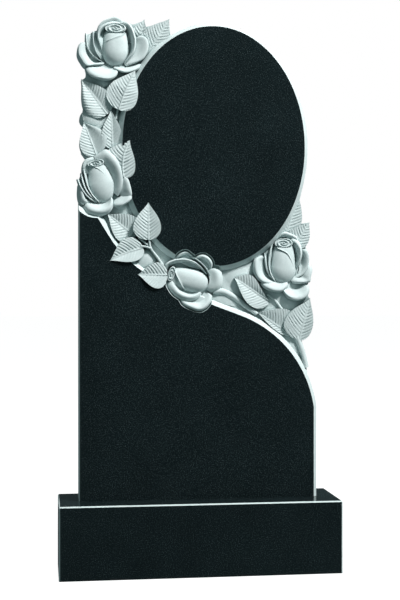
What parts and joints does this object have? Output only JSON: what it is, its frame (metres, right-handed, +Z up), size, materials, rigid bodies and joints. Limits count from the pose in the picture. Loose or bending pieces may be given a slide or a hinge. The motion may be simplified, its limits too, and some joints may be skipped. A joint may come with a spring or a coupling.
{
  "type": "headstone",
  "caption": "Upright slab headstone with carved roses and leaves round a raised polished oval and a polished lower panel, standing on a plain rectangular base block.",
  "frame": {"origin": "middle of the base block's underside, on the ground", "axes": "+Z up, -Y out of the carved face, +X to the right for someone who faces the carving"},
  "size_m": [0.7, 0.2, 1.3802],
  "materials": {
    "slab": "black granite, polished on the oval, the panel and the back, frosted pale grey where it is carved",
    "base": "black granite, polished"
  },
  "bodies": {
    "root": {"slab": "slab", "base": "base"}
  },
  "joints": []
}
